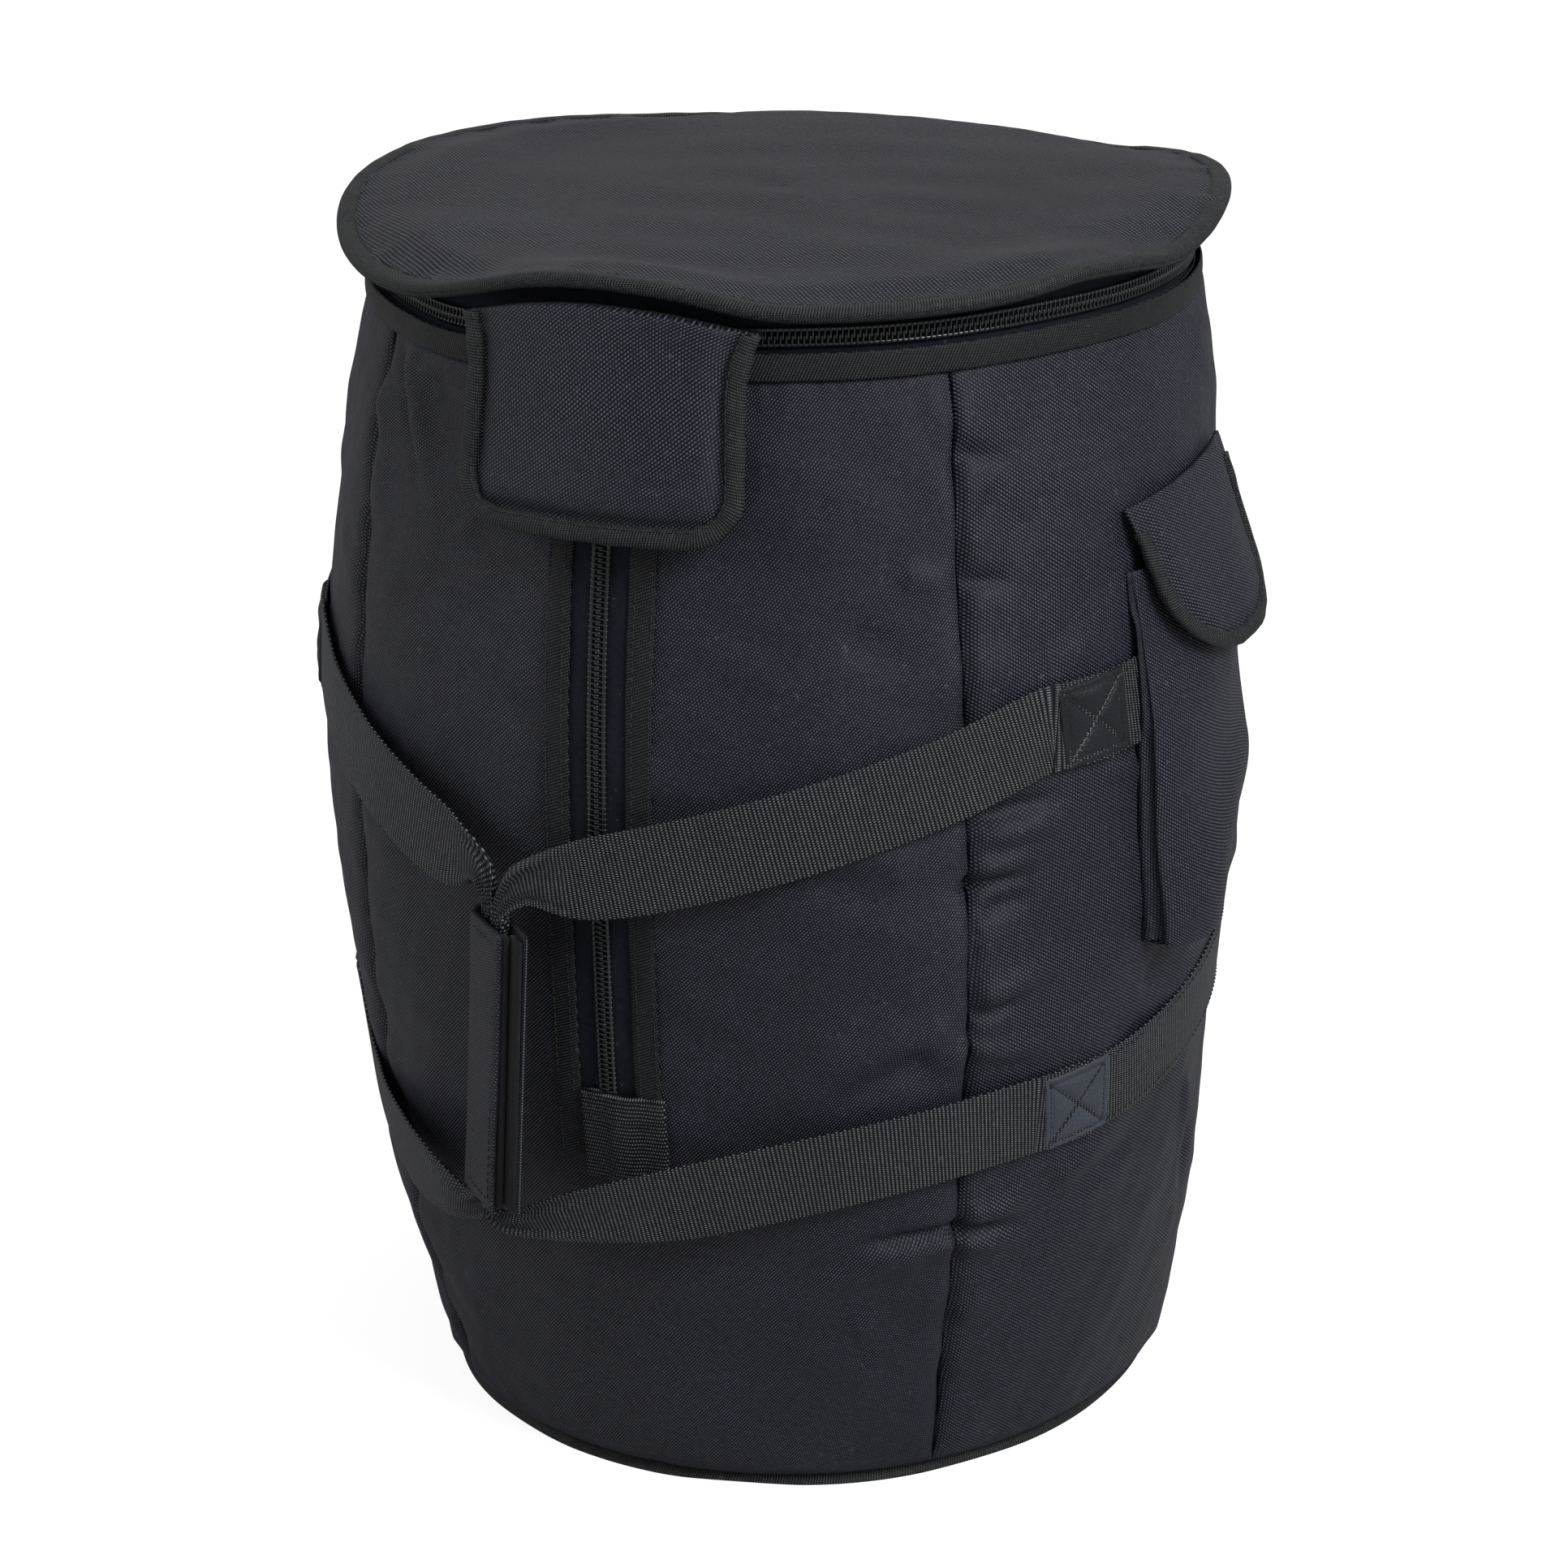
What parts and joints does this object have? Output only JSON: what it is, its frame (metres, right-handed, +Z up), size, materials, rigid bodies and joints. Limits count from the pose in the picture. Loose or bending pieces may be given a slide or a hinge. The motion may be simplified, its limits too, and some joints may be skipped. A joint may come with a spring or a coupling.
{
  "type": "padded drum bag",
  "caption": "Barrel-shaped padded bag with a zipped round lid, a front zip, a flapped side pocket and two webbing handles joined by a wrapped grip.",
  "frame": {"origin": "centre of the base panel's underside", "axes": "+Z up along the barrel's axis; -Y is the front, with the front zip; +X is the side with the pocket"},
  "size_m": [0.4412, 0.4561, 0.5636],
  "materials": {
    "cloth": "black twill",
    "foam": "grey foam",
    "lining": "plain black lining",
    "binding": "ribbed black tape",
    "webbing": "black webbing",
    "zip_tape": "black zip tape",
    "coil": "black coil",
    "leatherette": "black leatherette",
    "metal": "black painted metal",
    "hook_and_loop": "black hook and loop"
  },
  "bodies": {
    "body": {"front_panel": "cloth", "right_side_panel": "cloth", "back_panel": "cloth", "left_side_panel": "cloth", "front_foam": "foam", "right_side_foam": "foam", "back_foam": "foam", "left_side_foam": "foam", "body_lining": "lining", "base_panel": "cloth", "base_foam": "foam", "base_lining": "lining", "base_piping": "binding", "mouth_binding": "binding", "mouth_zip_body_tape": "zip_tape", "mouth_zip_body_coil": "coil", "lid_hinge_strip": "cloth", "front_zip_left_tape": "zip_tape", "front_zip_right_tape": "zip_tape", "front_zip_left_coil": "coil", "front_zip_right_coil": "coil", "front_zip_left_strip": "binding", "front_zip_right_strip": "binding", "front_zip_end_tab": "webbing", "upper_back_webbing": "webbing", "lower_back_webbing": "webbing", "upper_right_patch": "leatherette", "lower_right_patch": "leatherette", "upper_left_patch": "leatherette", "lower_left_patch": "leatherette", "pocket_pouch": "cloth", "pocket_loop_strip": "hook_and_loop"},
    "lid": {"lid_cover": "cloth", "lid_foam": "foam", "lid_lining": "lining", "lid_rim_binding": "binding", "mouth_zip_lid_tape": "zip_tape", "mouth_zip_lid_coil": "coil"},
    "bib": {"bib_cover": "cloth", "bib_foam": "foam", "bib_backing": "lining", "bib_binding": "binding"},
    "mouth_left_slider": {"mouth_left_slider": "metal"},
    "mouth_left_pull": {"mouth_left_pull": "metal"},
    "mouth_right_slider": {"mouth_right_slider": "metal"},
    "mouth_right_pull": {"mouth_right_pull": "metal"},
    "front_slider": {"front_slider": "metal"},
    "front_pull": {"front_pull": "metal"},
    "right_handle": {"right_handle": "webbing"},
    "left_handle": {"left_handle": "webbing", "grip_sleeve": "cloth", "grip_loop_strip": "hook_and_loop"},
    "grip_flap": {"grip_flap": "cloth", "grip_hook_strip": "hook_and_loop"},
    "pocket_flap": {"pocket_flap": "cloth", "pocket_flap_binding": "binding", "pocket_hook_strip": "hook_and_loop"}
  },
  "joints": [
    {"name": "lid_hinge", "type": "hinge", "parent": "body", "child": "lid", "pos_m": [0, 0.1865, 0.5375], "axis": [-1, 0, 0], "range_deg": [0, 100]},
    {"name": "bib_hinge", "type": "hinge", "parent": "lid", "child": "bib", "pos_m": [0, -0.199, 0.5445], "axis": [-1, 0, 0], "range_deg": [0, 110]},
    {"name": "mouth_left_slide", "type": "hinge", "parent": "body", "child": "mouth_left_slider", "pos_m": [0, 0, 0.537], "axis": [0, 0, -1], "range_deg": [0, 122]},
    {"name": "mouth_right_slide", "type": "hinge", "parent": "body", "child": "mouth_right_slider", "pos_m": [0, 0, 0.537], "axis": [0, 0, 1], "range_deg": [0, 122]},
    {"name": "front_slide", "type": "hinge", "parent": "body", "child": "front_slider", "pos_m": [0, 0.7725, 0.2945], "axis": [1, 0, 0], "range_deg": [0, 16.4]},
    {"name": "mouth_left_pull_swing", "type": "hinge", "parent": "mouth_left_slider", "child": "mouth_left_pull", "pos_m": [-0.01365, -0.18582, 0.537], "axis": [0, 0, 1], "range_deg": [0, 6]},
    {"name": "mouth_right_pull_swing", "type": "hinge", "parent": "mouth_right_slider", "child": "mouth_right_pull", "pos_m": [0.01365, -0.18582, 0.537], "axis": [0, 0, -1], "range_deg": [0, 6]},
    {"name": "front_pull_swing", "type": "hinge", "parent": "front_slider", "child": "front_pull", "pos_m": [0, -0.19379, 0.50475], "axis": [-1, 0, 0], "range_deg": [0, 12]},
    {"name": "right_handle_swing", "type": "hinge", "parent": "body", "child": "right_handle", "pos_m": [0.17005, -0.12191, 0.2795], "axis": [0.0277, 0.0123, 0.9995], "range_deg": [0, 65]},
    {"name": "left_handle_swing", "type": "hinge", "parent": "body", "child": "left_handle", "pos_m": [-0.18153, -0.10491, 0.27325], "axis": [0.0331, -0.0139, -0.9994], "range_deg": [0, 28.27]},
    {"name": "grip_flap_fold", "type": "hinge", "parent": "left_handle", "child": "grip_flap", "pos_m": [-0.06173, -0.21797, 0.225], "axis": [-0.0724, 0.0188, -0.9972], "range_deg": [0, 80]},
    {"name": "pocket_flap_hinge", "type": "hinge", "parent": "body", "child": "pocket_flap", "pos_m": [0.19625, -0.02584, 0.456], "axis": [-0.13, -0.9877, -0.0872], "range_deg": [0, 100]}
  ],
  "couplings": [
    {"joint": "left_handle_swing", "follows": "right_handle_swing", "ratio": 0.435}
  ]
}
